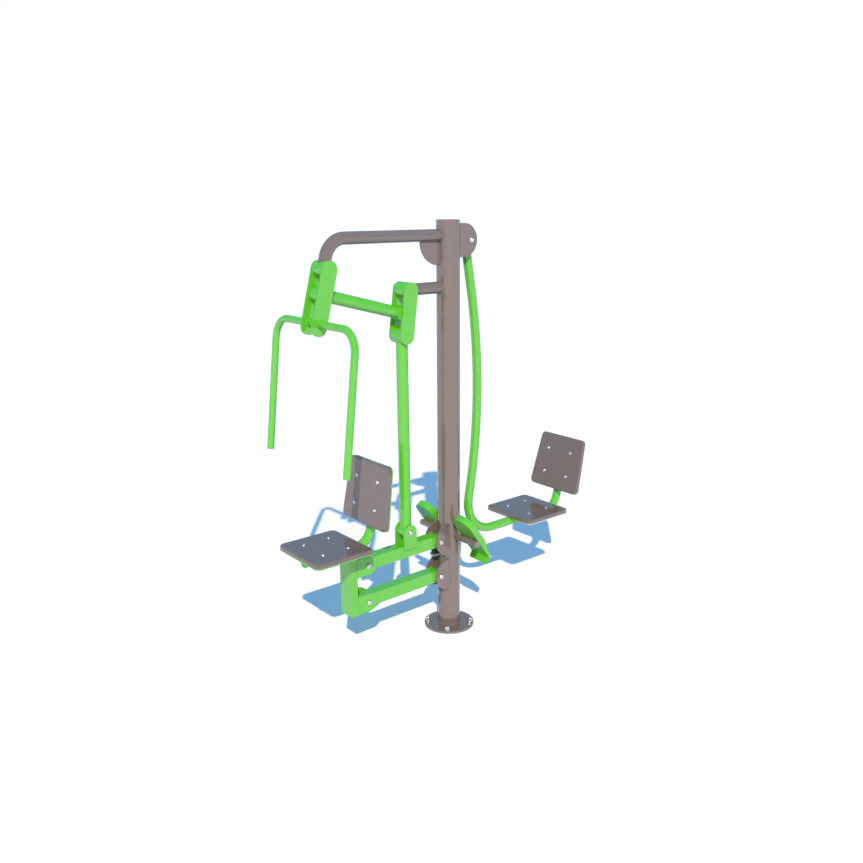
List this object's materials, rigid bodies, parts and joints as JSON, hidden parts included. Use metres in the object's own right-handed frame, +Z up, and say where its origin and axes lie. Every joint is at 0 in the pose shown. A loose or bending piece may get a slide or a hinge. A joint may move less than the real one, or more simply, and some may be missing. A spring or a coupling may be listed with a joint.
{
  "type": "outdoor fitness station",
  "caption": "Post-mounted outdoor gym with a seated chest press that lifts its own seat through rockers and a push rod, and a swinging leg press seat facing footrests.",
  "frame": {"origin": "on the ground at the centre of the base flange's underside", "axes": "+Z up along the post, -X toward the chest press, +X toward the leg press, -Y is the front side"},
  "size_m": [1.7916, 0.6696, 2.188],
  "materials": {
    "green_paint": "gloss powder coat",
    "grey_paint": "gloss powder coat",
    "board": "fine-grained polyethylene board",
    "zinc_steel": "bright zinc plate",
    "rubber": "matte",
    "bush_plastic": "matte",
    "grey_cap": "satin",
    "green_cap": "satin"
  },
  "bodies": {
    "frame": {"base_flange": "grey_paint", "post_tube": "grey_paint", "post_cap": "grey_cap", "anchor_bolts": "zinc_steel", "top_arm": "grey_paint", "arm_gusset": "grey_paint", "stub_arm": "grey_paint", "arm_hubs": "green_paint", "arm_bushes": "bush_plastic", "swing_bracket_plates": "grey_paint", "upper_post_lugs": "grey_paint", "lower_post_lugs": "grey_paint", "post_pivot_bolts": "zinc_steel", "stop_shelf": "grey_paint", "rubber_buffers": "rubber", "footrest_tube": "grey_paint", "footrest_tube_caps": "grey_cap", "front_footrest": "green_paint", "rear_footrest": "green_paint"},
    "upper_bar": {"upper_bar": "green_paint", "upper_bar_hubs": "green_paint", "upper_bar_bushes": "bush_plastic", "clevis_plates": "green_paint", "clevis_bolt": "zinc_steel"},
    "lower_bar": {"lower_bar": "green_paint", "lower_bar_hubs": "green_paint", "lower_bar_bushes": "bush_plastic"},
    "seat_carriage": {"seat_upright": "green_paint", "seat_lugs": "green_paint", "carriage_pivot_bolts": "zinc_steel", "press_frame_tube": "green_paint", "press_frame_caps": "green_cap", "press_seat_board": "board", "press_seat_plate": "green_paint", "press_back_board": "board", "press_back_plate": "green_paint", "press_board_bolts": "zinc_steel"},
    "press_rocker": {"press_rocker_front_plate": "green_paint", "press_rocker_rear_plate": "green_paint", "press_rocker_pins": "green_paint", "handlebar": "green_paint", "handlebar_caps": "green_cap"},
    "link": {"link_tube": "green_paint", "link_hubs": "green_paint", "link_bushes": "bush_plastic"},
    "relay_rocker": {"relay_rocker_front_plate": "green_paint", "relay_rocker_rear_plate": "green_paint", "relay_rocker_pins": "green_paint"},
    "push_rod": {"push_rod": "green_paint", "push_rod_hubs": "green_paint", "push_rod_bushes": "bush_plastic"},
    "swing_seat": {"swing_hub": "green_paint", "swing_bushes": "bush_plastic", "swing_tube": "green_paint", "swing_tube_cap": "green_cap", "leg_seat_board": "board", "leg_seat_plate": "zinc_steel", "leg_back_board": "board", "leg_back_plate": "green_paint", "leg_board_bolts": "zinc_steel"}
  },
  "joints": [
    {"name": "upper_bar_pivot", "type": "hinge", "parent": "frame", "child": "upper_bar", "pos_m": [-0.09015, 0, 0.491], "axis": [0, 1, 0], "range_deg": [0, 11.2]},
    {"name": "lower_bar_pivot", "type": "hinge", "parent": "frame", "child": "lower_bar", "pos_m": [-0.09015, 0, 0.303], "axis": [0, 1, 0], "range_deg": [0, 11.2]},
    {"name": "seat_carriage_pivot", "type": "hinge", "parent": "upper_bar", "child": "seat_carriage", "pos_m": [-0.53611, 0, 0.485], "axis": [0, 1, 0], "range_deg": [-11.2, 0]},
    {"name": "press_rocker_pivot", "type": "hinge", "parent": "frame", "child": "press_rocker", "pos_m": [-0.694, 0, 1.88], "axis": [0, 1, 0], "range_deg": [0, 25.95]},
    {"name": "link_pivot", "type": "hinge", "parent": "press_rocker", "child": "link", "pos_m": [-0.71687, 0, 1.7724], "axis": [0, 1, 0], "range_deg": [-25.95, 0]},
    {"name": "relay_rocker_pivot", "type": "hinge", "parent": "frame", "child": "relay_rocker", "pos_m": [-0.258, 0, 1.7635], "axis": [0, 1, 0], "range_deg": [0, 25.95]},
    {"name": "push_rod_pivot", "type": "hinge", "parent": "relay_rocker", "child": "push_rod", "pos_m": [-0.28432, 0, 1.55516], "axis": [0, 1, 0], "range_deg": [-32.5, 0]},
    {"name": "swing_pivot", "type": "hinge", "parent": "frame", "child": "swing_seat", "pos_m": [0.105, 0, 1.983], "axis": [0, -1, 0], "range_deg": [0, 22]}
  ],
  "couplings": [
    {"joint": "lower_bar_pivot", "follows": "upper_bar_pivot", "ratio": 1},
    {"joint": "seat_carriage_pivot", "follows": "upper_bar_pivot", "ratio": -1},
    {"joint": "press_rocker_pivot", "follows": "upper_bar_pivot", "ratio": 2.3166},
    {"joint": "link_pivot", "follows": "upper_bar_pivot", "ratio": -2.3166},
    {"joint": "relay_rocker_pivot", "follows": "upper_bar_pivot", "ratio": 2.3166},
    {"joint": "push_rod_pivot", "follows": "upper_bar_pivot", "ratio": -2.9015}
  ]
}
